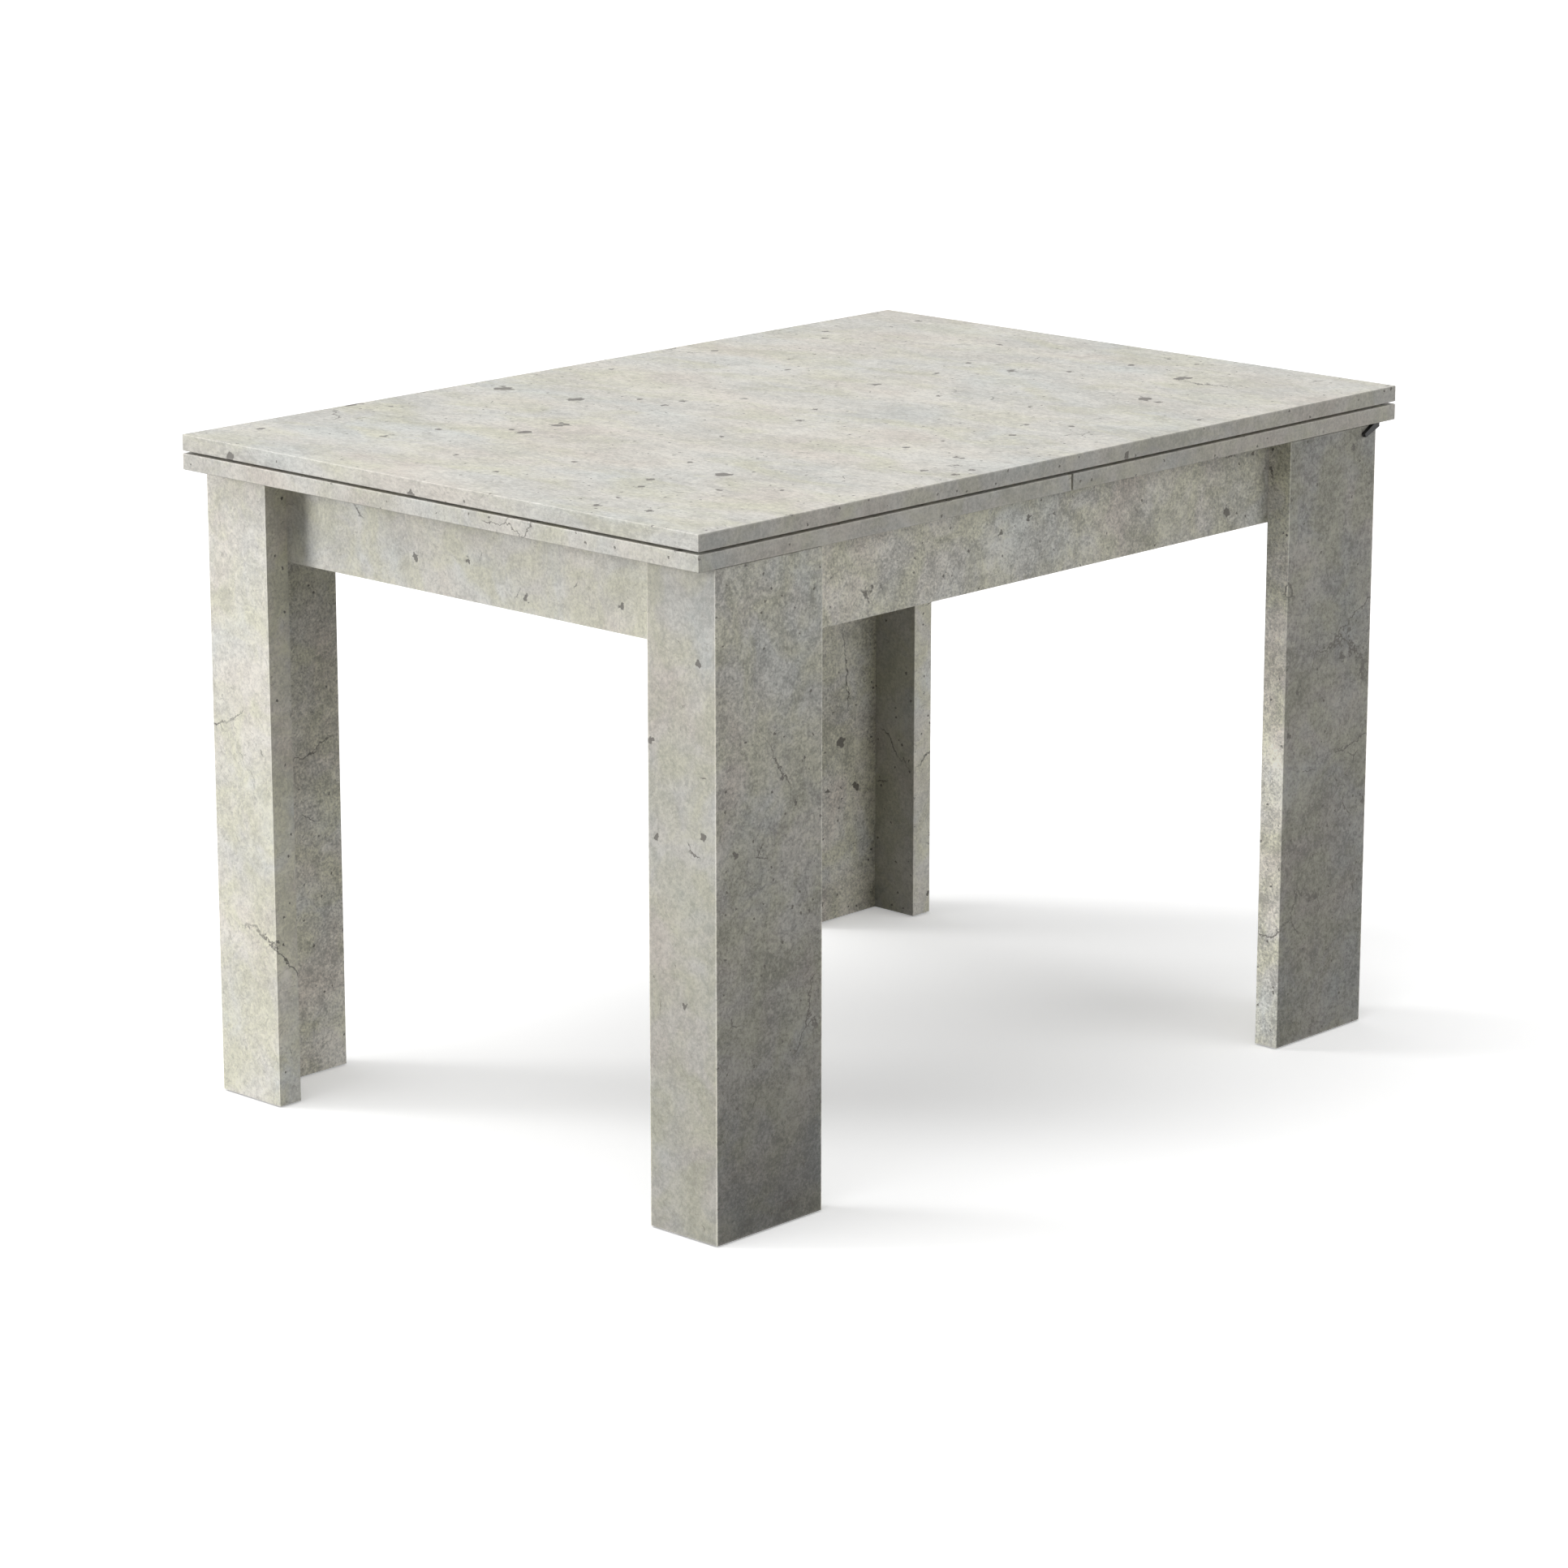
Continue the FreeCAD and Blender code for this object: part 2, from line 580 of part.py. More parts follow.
def leaf(sign_x):
    """Make one sliding leaf, cut away at its inner edge around the bearer."""
    panel = box((LEAF_START, LENGTH / 2), (-WIDTH / 2, WIDTH / 2), (LEAF_UNDER, LEAF_TOP))
    panel = panel.makeFillet(ARRIS, panel.Edges)
    notch_y = BEARER_Y + NOTCH_CLEARANCE
    notch = box((0, BEARER_X + NOTCH_CLEARANCE), (-notch_y, notch_y), (LEAF_UNDER, LEAF_TOP))
    panel = panel.cut(notch)
    seats = [Vector(seat.x, sign_y * seat.y, LEAF_UNDER)
             for seat in batten_screw_seats() for sign_y in SIDES_Y.values()]
    panel = drilled(panel, seats, SCREW_RADIUS + HOLE_CLEARANCE, SCREW_BITE + HOLE_BEYOND_TIP, Z_AXIS)
    if sign_x < 0:
        return mirrored(panel, sign_x, 1)
    return drilled(panel, [tab_peg_seat()], TAB_PEG_RADIUS + HOLE_CLEARANCE,
                   TAB_PEG_LENGTH + HOLE_BEYOND_TIP, Z_AXIS)


def finger_tab():
    """Make the tab in the overhang of the right-hand leaf: a blade that slopes down past the leg."""
    outer = LEG_X
    inner = LEG_X - TAB_LENGTH
    near = -(LEG_Y + SIDE_INSET - TAB_CLEARANCE)
    profile = [Vector(outer, near, LEAF_UNDER), Vector(outer - TAB_FOOT, near, LEAF_UNDER),
               Vector(inner, near, LEAF_UNDER - TAB_DROP + TAB_BLADE),
               Vector(inner + TAB_BLADE / 2, near, LEAF_UNDER - TAB_DROP),
               Vector(outer, near, LEAF_UNDER - TAB_BLADE)]
    tab = prism(profile, Y_AXIS * (SIDE_INSET - 2 * TAB_CLEARANCE))
    peg = cylinder(TAB_PEG_RADIUS, TAB_PEG_LENGTH, tab_peg_seat(), Z_AXIS)
    return tab.fuse(peg).removeSplitter()


def leaf_screws(sign_x):
    """Make the screws that hold the battens under one leaf."""
    length = LEAF_UNDER - BATTEN_BOTTOM - COUNTERBORE_DEPTH + SCREW_BITE
    screws = Part.makeCompound([screw(seat, Z_AXIS, length) for seat in batten_screw_seats()])
    return Part.makeCompound([mirrored(screws, sign_x, sign_y) for sign_y in SIDES_Y.values()])


def single_parts():
    """Name the pieces that are made once, or once for each side."""
    parts = {"top_panel": top_panel(), "centre_bearer": centre_bearer(),
             "centre_rail": centre_rail(), "leg_bolts": leg_bolts(), "leg_inserts": leg_inserts(),
             "apron_dowels": apron_dowels(), "rail_brackets": rail_brackets(),
             "rail_bracket_screws": rail_bracket_screws(), "bearer_screws": bearer_screws(),
             "top_screws": top_screws(), "top_felt_pads": top_pads(),
             "fixed_runner_screws": fixed_runner_screws(),
             "right_leaf_finger_tab": finger_tab()}
    for side_y, sign_y in SIDES_Y.items():
        parts[f"{side_y}_apron"] = long_apron(sign_y)
    for side_x, sign_x in SIDES_X.items():
        parts[f"{side_x}_apron"] = end_apron(sign_x)
        parts[f"{side_x}_glide_strip"] = glide_strip(sign_x)
    return parts


def corner_parts(corner, sign_x, sign_y):
    """Name the pieces of one corner: the leg, its glides and bracket, and the runner."""
    shapes = {"leg_long_board": leg_long_board(), "leg_short_board": leg_short_board(),
              "foot_glides": foot_glides(), "corner_bracket": corner_bracket(),
              "runner_fixed": runner_fixed(), "runner_middle": runner_middle(),
              "runner_inner": runner_inner(), "leaf_batten": leaf_batten()}
    return {f"{corner}_{name}": mirrored(shape, sign_x, sign_y)
            for name, shape in shapes.items()}


def leaf_parts(side_x, sign_x):
    """Name the pieces of one leaf that are not at a corner."""
    return {f"{side_x}_leaf": leaf(sign_x), f"{side_x}_leaf_screws": leaf_screws(sign_x),
            f"{side_x}_leaf_runner_screws": leaf_runner_screws(sign_x)}


def build():
    """Make every piece of the table."""
    parts = single_parts()
    for side_x, sign_x in SIDES_X.items():
        parts.update(leaf_parts(side_x, sign_x))
        for side_y, sign_y in SIDES_Y.items():
            parts.update(corner_parts(f"{side_y}_{side_x}", sign_x, sign_y))
    return parts


os.makedirs("parts", exist_ok=True)
for node, shape in build().items():
    shape.exportStep(f"parts/{node}.step")
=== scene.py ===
import json
import math

import bpy
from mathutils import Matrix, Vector


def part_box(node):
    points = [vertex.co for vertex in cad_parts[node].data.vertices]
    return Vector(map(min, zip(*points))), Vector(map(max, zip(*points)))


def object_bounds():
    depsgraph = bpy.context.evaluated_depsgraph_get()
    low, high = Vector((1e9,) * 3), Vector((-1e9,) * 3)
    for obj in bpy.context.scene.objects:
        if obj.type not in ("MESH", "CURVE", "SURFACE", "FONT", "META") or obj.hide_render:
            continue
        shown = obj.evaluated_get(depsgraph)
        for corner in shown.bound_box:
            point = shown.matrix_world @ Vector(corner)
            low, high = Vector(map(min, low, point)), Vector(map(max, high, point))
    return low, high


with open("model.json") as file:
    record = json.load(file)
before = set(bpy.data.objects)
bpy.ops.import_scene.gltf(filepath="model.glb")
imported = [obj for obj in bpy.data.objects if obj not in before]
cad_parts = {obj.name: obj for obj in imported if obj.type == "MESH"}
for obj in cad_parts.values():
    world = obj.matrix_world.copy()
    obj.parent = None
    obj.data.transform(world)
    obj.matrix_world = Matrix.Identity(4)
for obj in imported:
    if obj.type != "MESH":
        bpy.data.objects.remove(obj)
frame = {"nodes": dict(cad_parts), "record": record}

CAD_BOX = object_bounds()
MM = 0.001

# Where the camera stands: turned from the table's width, tipped down, and its lens
CAMERA_TURN = math.radians(46.81)
CAMERA_TIP = math.radians(14.53)
CAMERA_DISTANCE = 6.147
CAMERA_LENS = 118.8
CAMERA_AIM = Vector((-0.026, 0.008, -0.054))

# Light, as a share of what shows a colour about as it is written
WORLD_LEVEL = 0.24
KEY_LEVEL = 0.61
KEY_FROM = Vector((-0.30, 0.16, 0.94))
KEY_SOFTNESS = math.radians(60)
SIDE_LEVEL = 0.84
SIDE_FROM = Vector((-0.60, 0.78, 0.14))
SIDE_SOFTNESS = math.radians(20)
FRONT_LEVEL = 0.34
FRONT_FROM = Vector((0.30, -0.90, 0.22))
FRONT_SOFTNESS = math.radians(50)

# The floor's side in metres, and how much of its white is its own
FLOOR_REACH = 60.0
FLOOR_GLOW = 0.30

# What the names of the pieces with the concrete print end in
BOARD_ENDS = ("top_panel", "_leaf", "_apron", "_board")

# How the arrises of the leg boards and the aprons are rounded
ARRIS_MM = 0.7
ARRIS_SEGMENTS = 2
ARRIS_ANGLE = math.radians(30)
WELD_WITHIN_MM = 0.01

# The print's ground tints, from cool to warm, and the faint yellow-green over them. The green
# starts at a lower place in its noise on the legs and aprons, so they have more of it.
GROUND_TINTS = ((0.34, "#c9cac5"), (0.46, "#cdcbc4"), (0.56, "#d1cdc4"), (0.68, "#cdc6bc"))
MOSS_TINT = "#c9c7b4"
SLAB_MOSS_START = 0.47
LEG_MOSS_START = 0.40
MOSS_FADE = 0.22
MOSS_SHARE = 0.85

# The print's light and dark: each noise's size in millimetres, detail, roughness and share, and
# where the sum of the noises is darkest and lightest
MOTTLES = ((80, 5, 0.60, 0.24), (14, 6, 0.74, 0.34), (3.5, 3, 0.75, 0.42))
MOTTLE_LOW = 0.42
MOTTLE_HIGH = 0.58

# The darkest and the lightest of the mottling, on smooth boards and on coarse ones
SMOOTH_PRINT = (0.72, 1.10)
COARSE_PRINT = (0.52, 1.22)

# How far apart, in metres, two boards' pieces of the print lie
PRINT_STEP = Vector((1.7, 2.3, 3.1))

# How a pattern is drawn out: the lower the value along an axis, the longer its marks there
EVENLY = (1.0, 1.0, 1.0)
ACROSS_TOP = (1.0, 0.50, 1.0)
ALONG_RUNNERS = (0.06, 1.0, 1.0)
ALONG_DOWELS = (1.0, 0.12, 1.0)

# How light each board's piece of the print is, from its foot to its head, or from left to right:
# print tone with painted light and shade over it. Boards that the lamps leave dim are painted
# lighter, and the front leg boards are painted darker, most towards their feet.
PRINT_TONES_AND_PAINTED_LIGHT = {
    "front_left_leg_long_board": (0.30, 1.02),
    "front_left_leg_short_board": (0.73, 0.91),
    "back_left_leg_short_board": (1.26, 1.26),
    "back_left_leg_long_board": (1.30, 1.30),
    "front_right_leg_long_board": (0.50, 0.61),
    "back_right_leg_long_board": (1.20, 1.20),
    "back_right_leg_short_board": (0.80, 0.80),
    "front_apron": (1.30, 0.98),
    "left_apron": (1.14, 1.14),
    "top_panel": (1.04, 0.96),
}

# Painted shade and painted light on the bands of the edges: how much darker the long edges of the
# top and the leaves are painted beside their faces, how much lighter the upright ends of the leg
# boards are painted, and how deep in the board a band ends
LONG_EDGE_PAINTED_SHADE = 0.80
LEG_END_PAINTED_LIGHT = 1.42
BAND_MM = 0.7
BAND_FADE_MM = 1.1

# Trowel arcs of the print: the size of their cells, the rings' closeness, their bends and breaks
ARC_CELL_MM = 26
ARC_RINGS = 26.0
ARC_LINE = (0.70, 1.0)
ARC_BEND_MM = 14
ARC_BREAK_MM = 12
ARC_BREAK = (0.54, 0.64)
ARC_TINT = "#8f8a80"
ARC_SHARE = 0.38

# Air holes of the print: how far apart their cells are, their radius, and the share that show
SLAB_PITS = ((92, 12.0, 0.62), (46, 5.5, 0.55), (16, 2.0, 0.55))
LEG_PITS = ((125, 8.5, 0.55), (52, 4.8, 0.50), (15, 2.0, 0.55))

# An air hole's rough outline: the size and the depth of its bends, and its dark core, in radii
PIT_BEND = 1.2
PIT_BEND_DEPTH = 2.4
PIT_CORE = 0.75

# Cracks of the print: the size of their cells, their width, and how rare they are
SLAB_CRACKS = ((260, 1.1, 0.63), (75, 0.9, 0.66))
LEG_CRACKS = ((260, 1.4, 0.56), (75, 0.9, 0.63))

# A crack's bends, their depth and the patches that show it, as shares of its cell, how softly a
# patch ends, and the crack's dark core, as a share of its width
CRACK_BEND = 1 / 5
CRACK_BEND_DEPTH = 1 / 6
CRACK_PATCH = 0.6
CRACK_FADE = 0.05
CRACK_CORE = 0.3

# Air holes and cracks are dark, and the arrises a little paler where they wear
HOLLOW_TINT = "#56514a"
HOLLOW_SHARE = 0.88
WEAR_TINT = "#dedad2"
WEAR_SHARE = 0.35
WEAR_MM = 0.8
WEAR_FADE_MM = 2.5

# The print's sheen and relief: roughness where the mottling is dark and light, the size of the
# grit, how high the mottling stands and how deep the hollows lie beside it, and the bump they make
DARK_ROUGHNESS = 0.56
LIGHT_ROUGHNESS = 0.42
GRIT_MM = 1.6
MOTTLE_HEIGHT = 1.5
HOLLOW_HEIGHT = -1.5
RELIEF_STRENGTH = 0.35
RELIEF_MM = 0.15


def colour(hex_code):
    """Turn an sRGB hex value into the linear colour that a shader takes."""
    parts = [int(hex_code[i:i + 2], 16) / 255 for i in (1, 3, 5)]
    linear = [part / 12.92 if part <= 0.04045 else ((part + 0.055) / 1.055) ** 2.4
              for part in parts]
    return (*linear, 1.0)


def add(tree, kind, inputs=None, **settings):
    """Add a node, give it its settings, and set or link its inputs."""
    made = tree.nodes.new(kind)
    for name, value in settings.items():
        setattr(made, name, value)
    for name, value in (inputs or {}).items():
        if isinstance(value, bpy.types.NodeSocket):
            tree.links.new(value, made.inputs[name])
        else:
            made.inputs[name].default_value = value
    return made


def set_stops(ramp, stops):
    """Give a colour ramp its stops, as pairs of place and colour."""
    elements = ramp.color_ramp.elements
    while len(elements) < len(stops):
        elements.new(0.5)
    for element, (place, value) in zip(elements, stops):
        element.position = place
        element.color = value
    return ramp


def grey(level):
    """Give a plain grey for a ramp that works as a mask."""
    return (level, level, level, 1.0)


def per_metre(size_mm):
    """Give a texture's scale from the real size of its features."""
    return 1 / (size_mm * MM)


def new_material(name):
    """Start a material and return its tree, its shader and the object coordinates."""
    material = bpy.data.materials.new(name)
    material.use_nodes = True
    tree = material.node_tree
    tree.nodes.clear()
    shader = add(tree, "ShaderNodeBsdfPrincipled")
    add(tree, "ShaderNodeOutputMaterial", {"Surface": shader.outputs["BSDF"]})
    place = add(tree, "ShaderNodeTexCoord").outputs["Object"]
    return material, tree, shader, place


def link(tree, output, shader, name):
    """Feed one of the shader's inputs."""
    tree.links.new(output, shader.inputs[name])


# Concrete-effect melamine: printed paper under resin, low sheen, pressed with a faint grain

def clouds(tree, place, moss_start):
    """Mix the print's ground tints: cool grey, warm grey and a faint yellow-green."""
    warm = add(tree, "ShaderNodeTexNoise", {"Vector": place, "Scale": per_metre(130), "Detail": 4,
                                            "Roughness": 0.5, "Distortion": 0.5})
    ground = set_stops(add(tree, "ShaderNodeValToRGB", {"Fac": warm.outputs["Fac"]}),
                       [(start, colour(tint)) for start, tint in GROUND_TINTS])
    moss = add(tree, "ShaderNodeTexNoise", {"Vector": place, "Scale": per_metre(60), "Detail": 4,
                                            "Roughness": 0.5, "Distortion": 0.8})
    moss_share = set_stops(add(tree, "ShaderNodeValToRGB", {"Fac": moss.outputs["Fac"]}),
                           [(moss_start, grey(0)), (moss_start + MOSS_FADE, grey(MOSS_SHARE))])
    return add(tree, "ShaderNodeMix", {"Factor": moss_share.outputs["Color"],
                                       "A": ground.outputs["Color"],
                                       "B": colour(MOSS_TINT)}, data_type="RGBA").outputs["Result"]


def mottle(tree, place):
    """Give the print's light and dark as noise of three sizes: a hand, a thumb and coarse sand."""
    total = None
    for size_mm, detail, roughness, share in MOTTLES:
        noise = add(tree, "ShaderNodeTexNoise", {"Vector": place, "Scale": per_metre(size_mm),
                                                 "Detail": detail, "Roughness": roughness,
                                                 "Distortion": 0.4})
        total = add(tree, "ShaderNodeMath", {0: noise.outputs["Fac"], 1: share, 2: total or 0.0},
                    operation="MULTIPLY_ADD").outputs["Value"]
    return total


def bent_place(tree, place, bend, depth_mm):
    """Move each place by a noise, up to the given depth, so that a pattern there is bent."""
    return add(tree, "ShaderNodeVectorMath", {0: bend.outputs["Color"], 1: (depth_mm * MM,) * 3,
                                              2: place}, operation="MULTIPLY_ADD").outputs["Vector"]


def trowel_arcs(tree, place):
    """Give the short curved marks of a trowel: broken rings inside bent cells."""
    bend = add(tree, "ShaderNodeTexNoise", {"Vector": place, "Scale": per_metre(ARC_BEND_MM),
                                            "Detail": 3})
    cells = add(tree, "ShaderNodeTexVoronoi", {"Vector": bent_place(tree, place, bend, ARC_BEND_MM),
                                               "Scale": per_metre(ARC_CELL_MM)})
    rings = add(tree, "ShaderNodeMath", {0: cells.outputs["Distance"], 1: ARC_RINGS},
                operation="MULTIPLY")
    wave = add(tree, "ShaderNodeMath", {0: rings.outputs["Value"]}, operation="SINE")
    lines = set_stops(add(tree, "ShaderNodeValToRGB", {"Fac": wave.outputs["Value"]}),
                      [(ARC_LINE[0], grey(0)), (ARC_LINE[1], grey(1))])
    breaks = add(tree, "ShaderNodeTexNoise", {"Vector": place, "Scale": per_metre(ARC_BREAK_MM),
                                              "Detail": 3})
    shown = set_stops(add(tree, "ShaderNodeValToRGB", {"Fac": breaks.outputs["Fac"]}),
                      [(ARC_BREAK[0], grey(0)), (ARC_BREAK[1], grey(1))])
    return add(tree, "ShaderNodeMath", {0: lines.outputs["Color"], 1: shown.outputs["Color"]},
               operation="MULTIPLY").outputs["Value"]


def pits(tree, place, apart_mm, radius_mm, share):
    """Give a mask of air holes: irregular spots where the face cuts bubbles in the concrete."""
    bend = add(tree, "ShaderNodeTexNoise", {"Vector": place,
                                            "Scale": per_metre(radius_mm * PIT_BEND), "Detail": 2})
    bent = bent_place(tree, place, bend, radius_mm * PIT_BEND_DEPTH)
    cells = add(tree, "ShaderNodeTexVoronoi", {"Vector": bent, "Scale": per_metre(apart_mm)})
    spot = add(tree, "ShaderNodeMapRange", {"Value": cells.outputs["Distance"],
                                            "From Min": radius_mm / apart_mm,
                                            "From Max": PIT_CORE * radius_mm / apart_mm,
                                            "To Min": 0.0, "To Max": 1.0},
               interpolation_type="SMOOTHSTEP")
    chance = add(tree, "ShaderNodeSeparateColor", {"Color": cells.outputs["Color"]})
    chosen = add(tree, "ShaderNodeMath", {0: chance.outputs["Red"], 1: 1 - share},
                 operation="GREATER_THAN")
    return add(tree, "ShaderNodeMath", {0: spot.outputs["Result"], 1: chosen.outputs["Value"]},
               operation="MULTIPLY").outputs["Value"]


def hairlines(tree, place, cell_mm, width_mm, start):
    """Give a mask of thin cracks along the edges of large bent cells, shown in patches."""
    bend = add(tree, "ShaderNodeTexNoise", {"Vector": place,
                                            "Scale": per_metre(cell_mm * CRACK_BEND),
                                            "Detail": 5, "Roughness": 0.7})
    bent = bent_place(tree, place, bend, cell_mm * CRACK_BEND_DEPTH)
    cells = add(tree, "ShaderNodeTexVoronoi", {"Vector": bent, "Scale": per_metre(cell_mm)},
                feature="DISTANCE_TO_EDGE")
    line = add(tree, "ShaderNodeMapRange", {"Value": cells.outputs["Distance"],
                                            "From Min": width_mm / cell_mm,
                                            "From Max": CRACK_CORE * width_mm / cell_mm,
                                            "To Min": 0.0, "To Max": 1.0})
    where = add(tree, "ShaderNodeTexNoise", {"Vector": place,
                                             "Scale": per_metre(cell_mm * CRACK_PATCH),
                                             "Detail": 2})
    shown = set_stops(add(tree, "ShaderNodeValToRGB", {"Fac": where.outputs["Fac"]}),
                      [(start, grey(0)), (start + CRACK_FADE, grey(1))])
    return add(tree, "ShaderNodeMath", {0: line.outputs["Result"], 1: shown.outputs["Color"]},
               operation="MULTIPLY").outputs["Value"]


def hollows(tree, place, slab):
    """Give one mask of all the air holes and cracks of a board."""
    total = None
    marks = [pits(tree, place, *sizes) for sizes in (SLAB_PITS if slab else LEG_PITS)]
    marks += [hairlines(tree, place, *sizes) for sizes in (SLAB_CRACKS if slab else LEG_CRACKS)]
    for mark in marks:
        total = mark if total is None else add(tree, "ShaderNodeMath", {0: total, 1: mark},
                                               operation="MAXIMUM").outputs["Value"]
    return total


def depths(tree, place, low, high):
    """Give how far inside a board a point lies, from the nearer of its faces along each axis."""
    centre = (low + high) / 2
    half = (high - low) / 2
    inward = add(tree, "ShaderNodeVectorMath", {0: place, 1: centre}, operation="SUBTRACT")
    size = add(tree, "ShaderNodeVectorMath", {0: inward.outputs["Vector"]}, operation="ABSOLUTE")
    depth = add(tree, "ShaderNodeVectorMath", {0: half, 1: size.outputs["Vector"]},
                operation="SUBTRACT")
    return add(tree, "ShaderNodeSeparateXYZ", {0: depth.outputs["Vector"]}).outputs


def arris_wear(tree, depth):
    """Give a mask that is strongest along a board's arrises and fades into its faces."""
    x, y, z = depth
    nearer = add(tree, "ShaderNodeMath", {0: x, 1: y}, operation="MINIMUM").outputs["Value"]
    farther = add(tree, "ShaderNodeMath", {0: x, 1: y}, operation="MAXIMUM").outputs["Value"]
    other = add(tree, "ShaderNodeMath", {0: farther, 1: z}, operation="MINIMUM").outputs["Value"]
    second = add(tree, "ShaderNodeMath", {0: nearer, 1: other}, operation="MAXIMUM")
    return add(tree, "ShaderNodeMapRange", {"Value": second.outputs["Value"],
                                            "From Min": WEAR_FADE_MM * MM,
                                            "From Max": WEAR_MM * MM, "To Min": 0.0,
                                            "To Max": WEAR_SHARE}).outputs["Result"]


def painted_edge_band(tree, depth, painted_band_tone, face_tone):
    """Give a board's lightness from its depth: painted shade or painted light on the band glued to
    its edge, and its own tone inside.
    """
    return add(tree, "ShaderNodeMapRange", {"Value": depth, "From Min": BAND_MM * MM,
                                            "From Max": BAND_FADE_MM * MM, "To Min": painted_band_tone,
                                            "To Max": face_tone}).outputs["Result"]


def board_tone_and_painted_light(tree, place, depth, node):
    """Give a board's print tone, with painted light and shade, along its length and on the bands of
    its edges.
    """
    low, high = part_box(node)
    axis = 2 if node.endswith("_board") else 0
    along = add(tree, "ShaderNodeSeparateXYZ", {0: place})
    # Painted light and shade along the board, from its foot to its head, or from left to right
    first, last = PRINT_TONES_AND_PAINTED_LIGHT.get(node, (1.0, 1.0))
    tone = add(tree, "ShaderNodeMapRange", {"Value": along.outputs[axis], "From Min": low[axis],
                                            "From Max": high[axis], "To Min": first,
                                            "To Max": last}).outputs["Result"]
    if node.endswith(("panel", "leaf")):
        # Painted shade: the long edges of the top and the leaves are darkened
        tone = painted_edge_band(tree, depth["Y"], LONG_EDGE_PAINTED_SHADE, tone)
    # Painted light: the upright ends of the leg boards, long and short, are lightened as if lit
    # from the side
    elif node.endswith("long_board"):
        tone = painted_edge_band(tree, depth["X"], LEG_END_PAINTED_LIGHT, tone)
    elif node.endswith("short_board"):
        tone = painted_edge_band(tree, depth["Y"], LEG_END_PAINTED_LIGHT, tone)
    return tone


def concrete_melamine(node, stretch):
    """Make one board's finish: its own piece of the print, drawn out by the given stretch."""
    material, tree, shader, place = new_material(f"concrete_melamine_{node}")
    slab = node.endswith(("panel", "leaf"))
    smooth = slab or "short" in node or node in ("left_apron", "right_apron")
    shift = PRINT_STEP * sorted(frame["nodes"]).index(node)
    print_place = add(tree, "ShaderNodeMapping", {"Vector": place, "Location": shift,
                                                  "Scale": stretch}).outputs["Vector"]
    even_place = add(tree, "ShaderNodeMapping", {"Vector": place,
                                                 "Location": shift}).outputs["Vector"]
    depth = depths(tree, place, *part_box(node))

    shade = mottle(tree, print_place)
    ground = clouds(tree, print_place, SLAB_MOSS_START if slab else LEG_MOSS_START)
    darkest, lightest = SMOOTH_PRINT if smooth else COARSE_PRINT
    level = add(tree, "ShaderNodeMapRange", {"Value": shade, "From Min": MOTTLE_LOW,
                                             "From Max": MOTTLE_HIGH, "To Min": darkest,
                                             "To Max": lightest})
    # The mottling times the board's tone, which holds painted light and shade
    lightness = add(tree, "ShaderNodeMath", {0: level.outputs["Result"],
                                             1: board_tone_and_painted_light(tree, place, depth, node)},
                    operation="MULTIPLY")
    shaded = add(tree, "ShaderNodeVectorMath", {0: ground, "Scale": lightness.outputs["Value"]},
                 operation="SCALE")

    arc_share = add(tree, "ShaderNodeMath", {0: trowel_arcs(tree, even_place), 1: ARC_SHARE},
                    operation="MULTIPLY")
    marked = add(tree, "ShaderNodeMix", {"Factor": arc_share.outputs["Value"],
                                         "A": shaded.outputs["Vector"], "B": colour(ARC_TINT)},
                 data_type="RGBA")
    hollow = hollows(tree, even_place, slab)
    hollow_share = add(tree, "ShaderNodeMath", {0: hollow, 1: HOLLOW_SHARE}, operation="MULTIPLY")
    pitted = add(tree, "ShaderNodeMix", {"Factor": hollow_share.outputs["Value"],
                                         "A": marked.outputs["Result"],
                                         "B": colour(HOLLOW_TINT)}, data_type="RGBA")
    worn_share = add(tree, "ShaderNodeMath", {0: arris_wear(tree, depth), 1: shade},
                     operation="MULTIPLY")
    worn = add(tree, "ShaderNodeMix", {"Factor": worn_share.outputs["Value"],
                                       "A": pitted.outputs["Result"],
                                       "B": colour(WEAR_TINT)}, data_type="RGBA")
    link(tree, worn.outputs["Result"], shader, "Base Color")

    rough = add(tree, "ShaderNodeMapRange", {"Value": shade, "From Min": 0.3, "From Max": 0.7,
                                             "To Min": DARK_ROUGHNESS, "To Max": LIGHT_ROUGHNESS})
    link(tree, rough.outputs["Result"], shader, "Roughness")

    grit = add(tree, "ShaderNodeTexNoise", {"Vector": even_place, "Scale": per_metre(GRIT_MM),
                                            "Detail": 2})
    raised = add(tree, "ShaderNodeMath", {0: shade, 1: MOTTLE_HEIGHT, 2: grit.outputs["Fac"]},
                 operation="MULTIPLY_ADD")
    relief = add(tree, "ShaderNodeMath", {0: hollow, 1: HOLLOW_HEIGHT, 2: raised.outputs["Value"]},
                 operation="MULTIPLY_ADD")
    bump = add(tree, "ShaderNodeBump", {"Height": relief.outputs["Value"],
                                        "Strength": RELIEF_STRENGTH, "Distance": RELIEF_MM * MM})
    link(tree, bump.outputs["Normal"], shader, "Normal")
    return material


